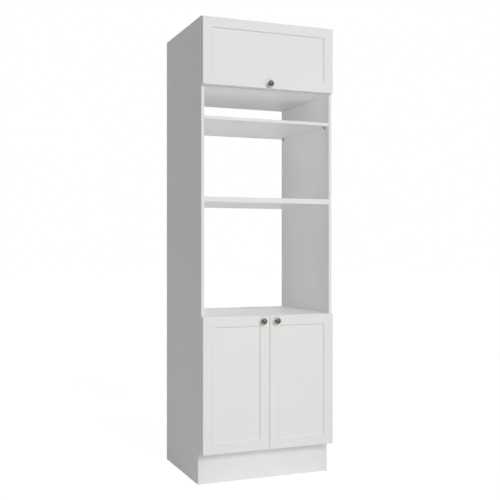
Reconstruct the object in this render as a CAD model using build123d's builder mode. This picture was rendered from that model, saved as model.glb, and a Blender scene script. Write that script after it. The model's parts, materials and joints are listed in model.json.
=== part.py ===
from build123d import *

import math
import os

os.makedirs("parts", exist_ok=True)

# Tall kitchen cabinet for a built-in oven and a microwave, in millimetres.
# X runs to the right, Y to the back and Z up. The origin is on the floor, under the
# middle of the whole outline, knobs included.

# Carcass
cabinet_width = 700.0
cabinet_height = 2267.0
side_depth = 588.0
board = 15.0
oven_shelf_thickness = 25.0
closed_depth = 560.0
shelf_depth = 586.0

# Clear heights from the floor up. The base cupboard takes what the others leave
toe_height = 156.0
toe_recess = 50.0
oven_niche_height = 557.0
microwave_niche_height = 374.5
slot_height = 141.0
flap_compartment_height = 308.5

# Back panels and rails
back_panel_thickness = 3.0
groove_depth = 6.0
groove_clearance = 0.2
wall_rail_height = 100.0
wall_hole_radius = 3.0
wall_hole_spacing = 500.0
wall_hole_drop = 60.0

# Loose shelves
shelf_end_gap = 1.0
inner_shelf_depth = 500.0
inner_shelf_setback = 40.0

# Doors
door_thickness = 18.0
door_gap = 1.0
side_reveal = 2.0
centre_gap = 3.0
door_bottom_reveal = 1.0
door_top_rise = 2.0
flap_top_reveal = 5.0
flap_floor_show = 8.0
frame_width = 48.5
door_rail_width = 50.5
recess_depth = 4.5
recess_slope = 4.0
recess_corner = 5.0
door_edge_round = 1.2

# Knobs
knob_radius = 14.5
knob_projection = 24.0
knob_foot_radius = 9.0
knob_foot_height = 2.0
knob_neck_radius = 5.5
knob_dome_height = 5.0
knob_rim_round = 3.0
knob_side_inset = 35.0
knob_door_inset = 28.0
knob_flap_inset = 23.0
knob_screw_radius = 2.0
knob_screw_grip = 9.0
knob_screw_head_radius = 4.0
knob_screw_head_height = 2.2
screw_clearance = 0.2

# Door bumpers
bumper_radius = 4.0
bumper_clearance = 0.1
bumper_inset = 30.0
flap_bumper_rise = 14.0

# Cam fasteners and dowels
cam_radius = 7.5
cam_depth = 12.0
cam_setback = 24.0
cam_slot_width = 1.4
cam_slot_length = 9.0
cam_slot_depth = 1.5
bolt_axis_depth = 7.5
bolt_thread_radius = 2.5
bolt_thread_length = 10.0
bolt_shank_radius = 3.0
bolt_bore_radius = 4.0
bolt_tip_gap = 1.0
dowel_radius = 4.0
dowel_length = 30.0
dowel_in_side = 9.5
hole_clearance = 0.05
hole_end_gap = 0.5
bolt_front_inset = 60.0
bolt_pitch = 440.0
dowel_front_inset = 110.0
dowel_pitch = 340.0
rail_dowel_inset = 25.0

# Back panel screws
tack_radius = 1.5
tack_length = 18.0
tack_head_radius = 3.2
tack_head_height = 1.2
tack_pitch = 200.0
tack_count = 4

# Shelf supports
support_width = 14.0
support_height = 13.0
support_reach = 12.0
support_sheet = 1.6
support_peg_radius = 2.5
support_peg_length = 9.0
support_front_inset = 46.0
support_back_inset = 560.0
inner_support_inset = 50.0

# Concealed hinges, measured from the door's edge and the plane of the carcass front
hinge_end_inset = 90.0
flap_hinge_inset = 110.0
cup_setback = 22.5
cup_radius = 17.5
cup_depth = 13.0
cup_wall = 0.8
cup_notch_depth = 4.0
cup_notch_reach = 3.4
wing_width = 20.0
wing_length = 60.0
wing_centre = 5.5
wing_thickness = 1.2
wing_corner = 4.0
cup_screw_setback = 6.0
cup_screw_spacing = 48.0
cup_screw_radius = 1.75
cup_screw_length = 11.0
cup_screw_head_radius = 3.4
cup_screw_head_height = 1.0
cup_pin_setback = 9.0
cup_pin_depth = 5.5
cup_pin_radius = 1.25
cup_lug_front = 2.4
cup_lug_back = 3.2
cup_lug_rise = 2.2
lug_thickness = 1.5
arm_pin_setback = 30.0
arm_pin_behind = 12.0
arm_pin_radius = 2.0
pin_running_clearance = 0.05
pin_fit = 0.02
pin_overhang = 0.4
link_width = 10.0
link_thickness = 2.4
link_side_gap = 0.3
link_bend_radius = 3.0
cup_eye_radius = 2.3
arm_eye_radius = 4.0
neck_drop = 3.7
neck_near = 3.5
neck_far = 14.5
neck_rise = 11.5
arm_nose_radius = 5.0
arm_sheet = 1.5
arm_back = 76.0
arm_top_drop = 4.0
arm_cheek_height = 8.0
arm_web_front = 40.0
plate_wing_thickness = 2.0
plate_wing_depth = 20.0
plate_wing_length = 56.0
plate_rib_front = 20.0
plate_rib_back = 74.0
plate_rib_clearance = 0.05
plate_screw_line = 37.0
plate_screw_spacing = 32.0
plate_screw_radius = 2.5
plate_screw_length = 10.5
plate_screw_head_radius = 3.6
plate_screw_head_height = 1.6
arm_screw_line = 62.0
arm_screw_radius = 2.0
arm_screw_length = 7.0
arm_screw_head_radius = 3.6
arm_screw_head_height = 1.8

# Gas struts of the flap, measured from the flap's top edge and the carcass front
strut_wall_drop = 36.0
strut_wall_depth = 167.0
strut_flap_drop = 167.0
strut_flap_behind = 15.0
strut_side_offset = 15.0
strut_eye_width = 8.0
strut_eye_radius = 8.0
strut_stud_radius = 4.0
strut_tube_radius = 7.5
strut_bore_radius = 6.4
strut_tube_start = 12.0
strut_mouth_gap = 16.0
strut_rod_end_gap = 18.0
strut_cap = 4.0
strut_rod_radius = 3.0
strut_rod_clearance = 0.5
strut_piston_radius = 5.6
strut_piston_length = 8.0
strut_neck_radius = 3.8
strut_plate = 2.0
strut_wall_plate_length = 44.0
strut_plate_width = 20.0
strut_upright = 2.5
strut_flap_foot_length = 44.0
strut_collar_radius = 6.0
strut_side_gap = 0.3
strut_head_height = 1.6
strut_head_radius = 6.0
strut_screw_pitch = 32.0
strut_screw_radius = 2.0
strut_screw_length = 12.0
strut_screw_head_radius = 3.6
strut_screw_head_height = 1.6

# Places worked out from the sizes above
half_width = cabinet_width / 2
inner_half = half_width - board
inner_width = 2 * inner_half
overall_depth = side_depth + door_gap + door_thickness + knob_projection
back = overall_depth / 2
front = back - side_depth
top_panel_bottom = cabinet_height - board
flap_floor_bottom = top_panel_bottom - flap_compartment_height - board
upper_shelf_bottom = flap_floor_bottom - slot_height - board
oven_shelf_top = upper_shelf_bottom - microwave_niche_height
oven_shelf_bottom = oven_shelf_top - oven_shelf_thickness
base_height = oven_shelf_bottom - oven_niche_height
back_panel_front = front + closed_depth
wall_rail_front = back_panel_front + back_panel_thickness
wall_hole_points = [(side * wall_hole_spacing / 2, cabinet_height - wall_hole_drop) for side in (-1, 1)]
lower_door_bottom = toe_height + door_bottom_reveal
lower_door_top = base_height + door_top_rise
flap_top = cabinet_height - flap_top_reveal
flap_bottom = flap_floor_bottom + flap_floor_show
door_back = front - door_gap
door_front = door_back - door_thickness

# Fixed boards: underside, thickness, depth and the face that holds the cams
fixed_boards = {
    "base_bottom": (toe_height, board, closed_depth, "under"),
    "oven_niche_floor": (base_height - board, board, shelf_depth, "under"),
    "oven_shelf": (oven_shelf_bottom, oven_shelf_thickness, shelf_depth, "over"),
    "flap_compartment_floor": (flap_floor_bottom, board, closed_depth, "over"),
    "top_panel": (top_panel_bottom, board, closed_depth, "over"),
}

# Rails on edge between the side panels: front face, underside and height
rails = {
    "plinth_board": (front + toe_recess, 0.0, toe_height),
    "rear_plinth_rail": (back_panel_front - board, 0.0, toe_height),
    "wall_rail": (wall_rail_front, cabinet_height - wall_rail_height, wall_rail_height),
}

# Back panels: underside and top, and the heights of the screws that hold them to the boards
back_panels = {
    "base_back_panel": (toe_height, base_height - board),
    "upper_back_panel": (flap_floor_bottom, cabinet_height),
}
tack_rows = {
    "base_back_panel": [toe_height + board / 2],
    "upper_back_panel": [flap_floor_bottom + board / 2, cabinet_height - board / 2],
}


def bolt_axis_height(name):
    """Height of the bolts and dowels in a fixed board's ends."""
    bottom, thickness, _, cam_face = fixed_boards[name]
    if cam_face == "under":
        return bottom + bolt_axis_depth
    return bottom + thickness - bolt_axis_depth


def board_bolt_points(name):
    """Bolt centres in a fixed board's ends, as (y, z)."""
    z = bolt_axis_height(name)
    return [(front + bolt_front_inset + step * bolt_pitch, z) for step in range(2)]


def board_dowel_points(name):
    """Dowel centres in a fixed board's ends, as (y, z)."""
    z = bolt_axis_height(name)
    return [(front + dowel_front_inset + step * dowel_pitch, z) for step in range(2)]


def rail_dowel_points(name):
    """Dowel centres in a rail's ends, as (y, z)."""
    rail_front, bottom, height = rails[name]
    y = rail_front + board / 2
    return [(y, bottom + rail_dowel_inset), (y, bottom + height - rail_dowel_inset)]


bolt_points = [point for name in fixed_boards for point in board_bolt_points(name)]
dowel_points = [point for name in fixed_boards for point in board_dowel_points(name)]
dowel_points += [point for name in rails for point in rail_dowel_points(name)]


def tack_points(name):
    """Screw centres of a back panel in the boards' back edges, as (x, z)."""
    columns = [(step - (tack_count - 1) / 2) * tack_pitch for step in range(tack_count)]
    return [(x, z) for z in tack_rows[name] for x in columns]


# Shelf supports: places on a side wall as (y, z), z being the shelf's underside
upper_support_points = [
    (front + support_front_inset, upper_shelf_bottom),
    (front + support_back_inset, upper_shelf_bottom),
]
inner_shelf_bottom = (toe_height + base_height - board) / 2
inner_shelf_front = front + inner_shelf_setback
inner_support_points = [
    (inner_shelf_front + inner_support_inset, inner_shelf_bottom),
    (inner_shelf_front + inner_shelf_depth - inner_support_inset, inner_shelf_bottom),
]
support_axis_drop = support_height - support_peg_radius - support_sheet

# Hinge planes: local x runs inwards from the door's edge, local y to the back
left_edge = -half_width + side_reveal
right_edge = half_width - side_reveal
hinge_heights = (lower_door_bottom + hinge_end_inset, lower_door_top - hinge_end_inset)
flap_hinge_half = half_width - side_reveal - flap_hinge_inset
hinges = {
    "left": [Plane((left_edge, front, z), x_dir=(1, 0, 0), z_dir=(0, 0, 1)) for z in hinge_heights],
    "right": [Plane((right_edge, front, z), x_dir=(-1, 0, 0), z_dir=(0, 0, -1)) for z in hinge_heights],
    "flap": [
        Plane((x, front, flap_top), x_dir=(0, 0, -1), z_dir=(1, 0, 0))
        for x in (-flap_hinge_half, flap_hinge_half)
    ],
}

# Inner face of the board that carries each door's hinges, from the door's edge
carrier_face = {
    "left": board - side_reveal,
    "right": board - side_reveal,
    "flap": board - flap_top_reveal,
}
cup_pin = (cup_pin_setback, -door_gap - cup_pin_depth)
arm_pin = (arm_pin_setback, arm_pin_behind - door_gap)
cheek_inner = link_width / 2 + link_side_gap
cheek_outer = cheek_inner + arm_sheet
arm_underside = arm_pin_setback - arm_top_drop - arm_cheek_height
arm_topside = arm_pin_setback - arm_top_drop

# Strut planes: as the flap's hinge planes, in the middle of each strut's eyes
strut_half = inner_half - strut_side_offset
struts = {
    side: Plane((side * strut_half, front, flap_top), x_dir=(0, 0, -1), z_dir=(1, 0, 0))
    for side in (-1, 1)
}
strut_wall_pin = (strut_wall_drop, strut_wall_depth)
strut_flap_pin = (strut_flap_drop, strut_flap_behind - door_gap)
strut_length = math.dist(strut_wall_pin, strut_flap_pin)
strut_tube_end = strut_length - strut_mouth_gap
strut_rod_length = strut_length - strut_rod_end_gap
side_names = {-1: "left", 1: "right"}


def inwards(plane, u, v, w):
    """Plane at a point of a hinge plane, facing away from the board that carries it."""
    return Plane(plane.from_local_coords((u, v, w)), x_dir=plane.y_dir, z_dir=plane.x_dir)


def backwards(plane, u, v, w):
    """Plane at a point of a hinge plane, facing the back of the cabinet."""
    return Plane(plane.from_local_coords((u, v, w)), x_dir=plane.x_dir, z_dir=plane.y_dir)


def plate_screw_planes(door):
    """Planes of a door's hinge plate screws, on the face of the board that carries them."""
    return [
        inwards(hinge, carrier_face[door], plate_screw_line, step * plate_screw_spacing / 2)
        for hinge in hinges[door]
        for step in (-1, 1)
    ]


def cup_screw_planes(door):
    """Planes of a door's cup screws, on the door's back."""
    return [
        backwards(hinge, cup_setback + cup_screw_setback, -door_gap, step * cup_screw_spacing / 2)
        for hinge in hinges[door]
        for step in (-1, 1)
    ]


def strut_wall_screw_planes(side):
    """Planes of a strut's two wall screws, on the side panel's inner face."""
    plane = struts[side]
    u, v = strut_wall_pin
    places = [(u, v + step * strut_screw_pitch / 2, side * strut_side_offset) for step in (-1, 1)]
    return [
        Plane(plane.from_local_coords(place), x_dir=(0, 1, 0), z_dir=(-side, 0, 0)) for place in places
    ]


def strut_flap_screw_planes(side):
    """Planes of a strut's two flap screws, on the flap's back."""
    plane = struts[side]
    foot = -side * (strut_eye_width / 2 + strut_side_gap + strut_upright + strut_plate_width / 2)
    return [
        backwards(plane, strut_flap_drop + step * strut_screw_pitch / 2, -door_gap, foot)
        for step in (-1, 1)
    ]


# Side panels, with the toe notch, the back panel grooves and the drillings
for side in (-1, 1):
    door = side_names[side]
    inner_face = Plane.YZ.offset(side * inner_half)
    with BuildPart() as side_panel:
        with BuildSketch(inner_face):
            with BuildLine():
                Polyline(
                    (front + toe_recess, 0),
                    (back, 0),
                    (back, cabinet_height),
                    (front, cabinet_height),
                    (front, toe_height),
                    (front + toe_recess, toe_height),
                    close=True,
                )
            make_face()
        extrude(amount=side * board)
        with BuildSketch(inner_face):
            for bottom, top in back_panels.values():
                groove_height = top - bottom + 2 * groove_clearance
                with Locations((back_panel_front + back_panel_thickness / 2, (bottom + top) / 2)):
                    Rectangle(back_panel_thickness + 2 * groove_clearance, groove_height)
        extrude(amount=side * groove_depth, mode=Mode.SUBTRACT)
        with BuildSketch(inner_face):
            with Locations(*bolt_points):
                Circle(bolt_thread_radius + hole_clearance)
        extrude(amount=side * (bolt_thread_length + hole_end_gap), mode=Mode.SUBTRACT)
        with BuildSketch(inner_face):
            with Locations(*dowel_points):
                Circle(dowel_radius + hole_clearance)
        extrude(amount=side * (dowel_in_side + hole_end_gap), mode=Mode.SUBTRACT)
        with BuildSketch(inner_face):
            for y, z in upper_support_points + inner_support_points:
                with Locations((y, z - support_axis_drop)):
                    Circle(support_peg_radius + hole_clearance)
        extrude(amount=side * (support_peg_length + hole_end_gap), mode=Mode.SUBTRACT)
        for plane in plate_screw_planes(door):
            with BuildSketch(plane):
                Circle(plate_screw_radius + hole_clearance)
            extrude(amount=-(plate_screw_length + hole_end_gap), mode=Mode.SUBTRACT)
        for plane in strut_wall_screw_planes(side):
            with BuildSketch(plane):
                Circle(strut_screw_radius + hole_clearance)
            extrude(amount=-(strut_screw_length + hole_end_gap), mode=Mode.SUBTRACT)
    side_panel.part.label = f"side_panel_{door}"
    export_step(side_panel.part, f"parts/side_panel_{door}.step")

# Fixed boards, with bores for the cams, their bolts and the dowels
for name, (bottom, thickness, depth, cam_face) in fixed_boards.items():
    into_board = 1 if cam_face == "under" else -1
    cam_plane = Plane.XY.offset(bottom if cam_face == "under" else bottom + thickness)
    cam_points = [
        (side * (inner_half - cam_setback), y) for side in (-1, 1) for y, _ in board_bolt_points(name)
    ]
    with BuildPart() as fixed_board:
        with BuildSketch(Plane.XY.offset(bottom)):
            with Locations((0, front + depth / 2)):
                Rectangle(inner_width, depth)
        extrude(amount=thickness)
        with BuildSketch(cam_plane):
            with Locations(*cam_points):
                Circle(cam_radius + hole_clearance)
        extrude(amount=into_board * (cam_depth + hole_end_gap), mode=Mode.SUBTRACT)
        for side in (-1, 1):
            with BuildSketch(Plane.YZ.offset(side * inner_half)):
                with Locations(*board_bolt_points(name)):
                    Circle(bolt_bore_radius)
            extrude(amount=-side * cam_setback, mode=Mode.SUBTRACT)
            with BuildSketch(Plane.YZ.offset(side * inner_half)):
                with Locations(*board_dowel_points(name)):
                    Circle(dowel_radius + hole_clearance)
            extrude(amount=-side * (dowel_length - dowel_in_side + hole_end_gap), mode=Mode.SUBTRACT)
        for panel_name in back_panels:
            edge_points = [(x, z) for x, z in tack_points(panel_name) if bottom < z < bottom + thickness]
            for x, z in edge_points:
                with BuildSketch(Plane((x, back_panel_front, z), x_dir=(1, 0, 0), z_dir=(0, -1, 0))):
                    Circle(tack_radius + hole_clearance)
                extrude(amount=tack_length - back_panel_thickness + hole_end_gap, mode=Mode.SUBTRACT)
        if name == "top_panel":
            for plane in plate_screw_planes("flap"):
                with BuildSketch(plane):
                    Circle(plate_screw_radius + hole_clearance)
                extrude(amount=-(plate_screw_length + hole_end_gap), mode=Mode.SUBTRACT)
    fixed_board.part.label = name
    export_step(fixed_board.part, f"parts/{name}.step")

# Rails on edge: the plinth, its rear rail and the rail that is screwed to the wall
for name, (rail_front, bottom, height) in rails.items():
    with BuildPart() as rail:
        with BuildSketch(Plane.XY.offset(bottom)):
            with Locations((0, rail_front + board / 2)):
                Rectangle(inner_width, board)
        extrude(amount=height)
        for side in (-1, 1):
            with BuildSketch(Plane.YZ.offset(side * inner_half)):
                with Locations(*rail_dowel_points(name)):
                    Circle(dowel_radius + hole_clearance)
            extrude(amount=-side * (dowel_length - dowel_in_side + hole_end_gap), mode=Mode.SUBTRACT)
        if name == "wall_rail":
            with BuildSketch(Plane.XZ.offset(-rail_front)):
                with Locations(*wall_hole_points):
                    Circle(wall_hole_radius)
            extrude(amount=-board, mode=Mode.SUBTRACT)
    rail.part.label = name
    export_step(rail.part, f"parts/{name}.step")

# Back panels, slid into the side panels' grooves and screwed to the boards' back edges
for name, (bottom, top) in back_panels.items():
    with BuildPart() as back_panel:
        with BuildSketch(Plane.XZ.offset(-back_panel_front)):
            with Locations((0, (bottom + top) / 2)):
                Rectangle(inner_width + 2 * (groove_depth - groove_clearance), top - bottom)
            with Locations(*tack_points(name)):
                Circle(tack_radius + hole_clearance, mode=Mode.SUBTRACT)
            if name == "upper_back_panel":
                with Locations(*wall_hole_points):
                    Circle(wall_hole_radius, mode=Mode.SUBTRACT)
        extrude(amount=-back_panel_thickness)
        with BuildSketch(Plane.XZ.offset(-back_panel_front - back_panel_thickness)):
            with Locations(*tack_points(name)):
                Circle(tack_head_radius + hole_clearance)
        extrude(amount=tack_head_height, mode=Mode.SUBTRACT)
    back_panel.part.label = name
    export_step(back_panel.part, f"parts/{name}.step")

# Back panel screws, sunk flush with the panels' rear faces
with BuildPart() as back_panel_screws:
    for name in back_panels:
        for x, z in tack_points(name):
            rear = Plane((x, back_panel_front + back_panel_thickness, z), x_dir=(1, 0, 0), z_dir=(0, -1, 0))
            with BuildSketch(rear):
                Circle(tack_head_radius)
            extrude(amount=tack_head_height)
            with BuildSketch(rear):
                Circle(tack_radius)
            extrude(amount=tack_length)
back_panel_screws.part.label = "back_panel_screws"
export_step(back_panel_screws.part, "parts/back_panel_screws.step")

# Loose shelves: the one over the microwave niche and the one in the base cabinet
loose_shelves = {
    "upper_shelf": (upper_shelf_bottom, front, shelf_depth),
    "base_inner_shelf": (inner_shelf_bottom, inner_shelf_front, inner_shelf_depth),
}
for name, (bottom, shelf_front, depth) in loose_shelves.items():
    with BuildPart() as shelf:
        with BuildSketch(Plane.XY.offset(bottom)):
            with Locations((0, shelf_front + depth / 2)):
                Rectangle(inner_width - 2 * shelf_end_gap, depth)
        extrude(amount=board)
    shelf.part.label = name
    export_step(shelf.part, f"parts/{name}.step")

# Shelf supports: a peg in the wall, a folded angle and a gusset, four to a shelf
support_groups = {
    "upper_shelf_supports": upper_support_points,
    "inner_shelf_supports": inner_support_points,
}
for name, points in support_groups.items():
    with BuildPart() as supports:
        for side in (-1, 1):
            for y, z in points:
                wall = Plane.YZ.offset(side * inner_half)
                with BuildSketch(wall):
                    with Locations((y, z - support_height / 2)):
                        Rectangle(support_width, support_height)
                extrude(amount=-side * support_sheet)
                with BuildSketch(wall):
                    with Locations((y, z - support_sheet / 2)):
                        Rectangle(support_width, support_sheet)
                extrude(amount=-side * support_reach)
                with BuildSketch(Plane.XZ.offset(-(y - support_sheet / 2))):
                    with BuildLine():
                        Polyline(
                            (side * inner_half, z),
                            (side * (inner_half - support_reach), z),
                            (side * inner_half, z - support_height),
                            close=True,
                        )
                    make_face()
                extrude(amount=-support_sheet)
                with BuildSketch(wall):
                    with Locations((y, z - support_axis_drop)):
                        Circle(support_peg_radius)
                extrude(amount=side * support_peg_length)
    supports.part.label = name
    export_step(supports.part, f"parts/{name}.step")

# Cam housings, each with the bore that its bolt enters and a driver slot
with BuildPart() as cam_housings:
    for name, (bottom, thickness, _, cam_face) in fixed_boards.items():
        into_board = 1 if cam_face == "under" else -1
        face_height = bottom if cam_face == "under" else bottom + thickness
        for side in (-1, 1):
            for y, z in board_bolt_points(name):
                centre_x = side * (inner_half - cam_setback)
                with BuildSketch(Plane.XY.offset(face_height)):
                    with Locations((centre_x, y)):
                        Circle(cam_radius)
                extrude(amount=into_board * cam_depth)
                with BuildSketch(Plane.XY.offset(face_height)):
                    with Locations((centre_x, y)):
                        Rectangle(cam_slot_length, cam_slot_width)
                extrude(amount=into_board * cam_slot_depth, mode=Mode.SUBTRACT)
                with BuildSketch(Plane.YZ.offset(centre_x)):
                    with Locations((y, z)):
                        Circle(bolt_shank_radius + hole_clearance)
                extrude(amount=side * cam_radius, mode=Mode.SUBTRACT)
cam_housings.part.label = "cam_housings"
export_step(cam_housings.part, "parts/cam_housings.step")

# Cam bolts, screwed into the side panels
with BuildPart() as cam_bolts:
    for side in (-1, 1):
        with BuildSketch(Plane.YZ.offset(side * inner_half)):
            with Locations(*bolt_points):
                Circle(bolt_thread_radius)
        extrude(amount=side * bolt_thread_length)
        with BuildSketch(Plane.YZ.offset(side * inner_half)):
            with Locations(*bolt_points):
                Circle(bolt_shank_radius)
        extrude(amount=-side * (cam_setback - bolt_tip_gap))
cam_bolts.part.label = "cam_bolts"
export_step(cam_bolts.part, "parts/cam_bolts.step")

# Dowels between the side panels and every board and rail
with BuildPart() as dowels:
    for side in (-1, 1):
        with BuildSketch(Plane.YZ.offset(side * (inner_half + dowel_in_side))):
            with Locations(*dowel_points):
                Circle(dowel_radius)
        extrude(amount=-side * dowel_length)
dowels.part.label = "dowels"
export_step(dowels.part, "parts/dowels.step")

# Doors: outline in the front plane, knob and bumper places
lower_door_width = half_width - side_reveal - centre_gap / 2
lower_door_height = lower_door_top - lower_door_bottom
flap_width = cabinet_width - 2 * side_reveal
flap_height = flap_top - flap_bottom
door_centres = {
    "left": (left_edge + lower_door_width / 2, (lower_door_bottom + lower_door_top) / 2),
    "right": (right_edge - lower_door_width / 2, (lower_door_bottom + lower_door_top) / 2),
    "flap": (0.0, (flap_bottom + flap_top) / 2),
}
door_sizes = {
    "left": (lower_door_width, lower_door_height),
    "right": (lower_door_width, lower_door_height),
    "flap": (flap_width, flap_height),
}
rail_widths = {"left": door_rail_width, "right": door_rail_width, "flap": frame_width}
recess_taper = math.degrees(math.atan2(recess_slope, recess_depth))
knob_x = centre_gap / 2 + knob_side_inset
knob_points = {
    "left": (-knob_x, lower_door_top - knob_door_inset),
    "right": (knob_x, lower_door_top - knob_door_inset),
    "flap": (0.0, flap_bottom + knob_flap_inset),
}
bumper_x = centre_gap / 2 + bumper_inset
bumper_heights = (toe_height + board / 2, base_height - board / 2)
flap_bumper_x = half_width - board / 2 - side_reveal / 2
bumper_points = {
    "left": [(-bumper_x, z) for z in bumper_heights],
    "right": [(bumper_x, z) for z in bumper_heights],
    "flap": [(side * flap_bumper_x, flap_bottom + flap_bumper_rise) for side in (-1, 1)],
}

for door, (width, height) in door_sizes.items():
    with BuildPart() as door_panel:
        with BuildSketch(Plane.XZ.offset(-door_back)):
            with Locations(door_centres[door]):
                Rectangle(width, height)
        extrude(amount=door_thickness)
        front_edges = door_panel.faces().sort_by(Axis.Y)[0].edges()
        fillet(front_edges, radius=door_edge_round)
        with BuildSketch(Plane.XZ.offset(-door_front)):
            with Locations(door_centres[door]):
                RectangleRounded(width - 2 * frame_width, height - 2 * rail_widths[door], recess_corner)
        extrude(amount=-recess_depth, taper=recess_taper, mode=Mode.SUBTRACT)
        for hinge in hinges[door]:
            with BuildSketch(backwards(hinge, cup_setback, -door_gap, 0)):
                Circle(cup_radius + hole_clearance)
            extrude(amount=-(cup_depth + hole_end_gap), mode=Mode.SUBTRACT)
        for plane in cup_screw_planes(door):
            with BuildSketch(plane):
                Circle(cup_screw_radius + hole_clearance)
            extrude(amount=-(cup_screw_length + hole_end_gap), mode=Mode.SUBTRACT)
        with BuildSketch(Plane.XZ.offset(-door_back)):
            with Locations(knob_points[door]):
                Circle(knob_screw_radius + screw_clearance)
        extrude(amount=door_thickness, mode=Mode.SUBTRACT)
        if door == "flap":
            for plane in strut_flap_screw_planes(-1) + strut_flap_screw_planes(1):
                with BuildSketch(plane):
                    Circle(strut_screw_radius + hole_clearance)
                extrude(amount=-(strut_screw_length + hole_end_gap), mode=Mode.SUBTRACT)
    name = "flap_door" if door == "flap" else f"{door}_door"
    door_panel.part.label = name
    export_step(door_panel.part, f"parts/{name}.step")

# Knobs, turned: a foot, a waisted neck and a domed head, with a blind hole for the screw
knob_rim_height = knob_projection - knob_dome_height
knob_head_back = knob_rim_height - knob_rim_round
knob_dome_radius = (knob_radius**2 + knob_dome_height**2) / (2 * knob_dome_height)
knob_dome_half = math.asin(knob_radius / knob_dome_radius) / 2
knob_rim_middle = knob_rim_round * math.sin(math.radians(45))
for door, (x, z) in knob_points.items():
    axis_plane = Plane((x, door_front, z), x_dir=(1, 0, 0), z_dir=(0, 0, 1))
    with BuildPart() as knob:
        with BuildSketch(axis_plane):
            with BuildLine():
                Polyline((0, 0), (knob_foot_radius, 0), (knob_foot_radius, -knob_foot_height))
                ThreePointArc(
                    (knob_foot_radius, -knob_foot_height),
                    (knob_neck_radius, -(knob_foot_height + knob_head_back) / 2),
                    (knob_radius - knob_rim_round, -knob_head_back),
                )
                ThreePointArc(
                    (knob_radius - knob_rim_round, -knob_head_back),
                    (knob_radius - knob_rim_round + knob_rim_middle, -knob_rim_height + knob_rim_middle),
                    (knob_radius, -knob_rim_height),
                )
                ThreePointArc(
                    (knob_radius, -knob_rim_height),
                    (
                        knob_dome_radius * math.sin(knob_dome_half),
                        -knob_projection + knob_dome_radius * (1 - math.cos(knob_dome_half)),
                    ),
                    (0, -knob_projection),
                )
                Line((0, -knob_projection), (0, 0))
            make_face()
        revolve(axis=Axis((x, door_front, z), (0, 1, 0)))
        with BuildSketch(Plane.XZ.offset(-door_front)):
            with Locations((x, z)):
                Circle(knob_screw_radius + hole_clearance)
        extrude(amount=knob_screw_grip + hole_end_gap, mode=Mode.SUBTRACT)
    knob.part.label = f"{door}_knob"
    export_step(knob.part, f"parts/{door}_knob.step")

# Knob screws, driven from the doors' backs
for door, point in knob_points.items():
    with BuildPart() as knob_screw:
        with BuildSketch(Plane.XZ.offset(-door_back)):
            with Locations(point):
                Circle(knob_screw_radius)
        extrude(amount=door_thickness + knob_screw_grip)
        with BuildSketch(Plane.XZ.offset(-door_back)):
            with Locations(point):
                Circle(knob_screw_head_radius)
        extrude(amount=-knob_screw_head_height)
    knob_screw.part.label = f"{door}_knob_screw"
    export_step(knob_screw.part, f"parts/{door}_knob_screw.step")

# Door bumpers, stuck to the doors' backs where they meet the carcass
for door, points in bumper_points.items():
    with BuildPart() as bumpers:
        with BuildSketch(Plane.XZ.offset(-door_back)):
            with Locations(*points):
                Circle(bumper_radius)
        extrude(amount=-(door_gap - bumper_clearance))
    bumpers.part.label = f"{door}_bumpers"
    export_step(bumpers.part, f"parts/{door}_bumpers.step")

# Hinge cups: a drawn cup with two screw wings and the lugs that hold its pin
for door, planes in hinges.items():
    with BuildPart() as hinge_cups:
        for hinge in planes:
            rim = backwards(hinge, cup_setback, -door_gap, 0)
            with BuildSketch(rim):
                Circle(cup_radius)
            extrude(amount=-cup_depth)
            with BuildSketch(rim):
                with Locations((wing_centre, 0)):
                    RectangleRounded(wing_width, wing_length, wing_corner)
            extrude(amount=wing_thickness)
            with BuildSketch(rim.offset(wing_thickness)):
                Circle(cup_radius - cup_wall)
            extrude(amount=-(cup_depth + wing_thickness - cup_wall), mode=Mode.SUBTRACT)
            lug_front = cup_pin_setback - cup_lug_front
            lug_back = cup_pin_setback + cup_lug_back
            lug_top = -door_gap - cup_pin_depth + cup_lug_rise
            lug_foot = -door_gap - cup_depth + cup_wall / 2
            for step in (-1, 1):
                near = cheek_inner if step > 0 else -cheek_inner - lug_thickness
                with BuildSketch(hinge.offset(near)):
                    with Locations(((lug_front + lug_back) / 2, (lug_top + lug_foot) / 2)):
                        Rectangle(lug_back - lug_front, lug_top - lug_foot)
                    with Locations(cup_pin):
                        Circle(cup_pin_radius + pin_fit, mode=Mode.SUBTRACT)
                extrude(amount=lug_thickness)
            notch_centre = cup_setback - cup_radius + cup_notch_reach / 2 - cup_wall
            with BuildSketch(hinge.offset(-cheek_inner)):
                with Locations((notch_centre, -door_gap - cup_notch_depth / 2)):
                    Rectangle(cup_notch_reach, cup_notch_depth)
            extrude(amount=2 * cheek_inner, mode=Mode.SUBTRACT)
        for plane in cup_screw_planes(door):
            with BuildSketch(plane):
                Circle(cup_screw_radius + hole_clearance)
            extrude(amount=wing_thickness, mode=Mode.SUBTRACT)
    hinge_cups.part.label = f"{door}_hinge_cups"
    export_step(hinge_cups.part, f"parts/{door}_hinge_cups.step")

# Cup screws and the pins in the cups, which the links turn on
for door, planes in hinges.items():
    with BuildPart() as cup_screws:
        for plane in cup_screw_planes(door):
            with BuildSketch(plane.offset(wing_thickness)):
                Circle(cup_screw_head_radius)
            extrude(amount=cup_screw_head_height)
            with BuildSketch(plane.offset(wing_thickness)):
                Circle(cup_screw_radius)
            extrude(amount=-(cup_screw_length + wing_thickness))
    cup_screws.part.label = f"{door}_hinge_cup_screws"
    export_step(cup_screws.part, f"parts/{door}_hinge_cup_screws.step")

    with BuildPart() as cup_pins:
        for hinge in planes:
            half_length = cheek_inner + lug_thickness
            with BuildSketch(hinge.offset(-half_length)):
                with Locations(cup_pin):
                    Circle(cup_pin_radius)
            extrude(amount=2 * half_length)
    cup_pins.part.label = f"{door}_hinge_cup_pins"
    export_step(cup_pins.part, f"parts/{door}_hinge_cup_pins.step")

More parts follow.
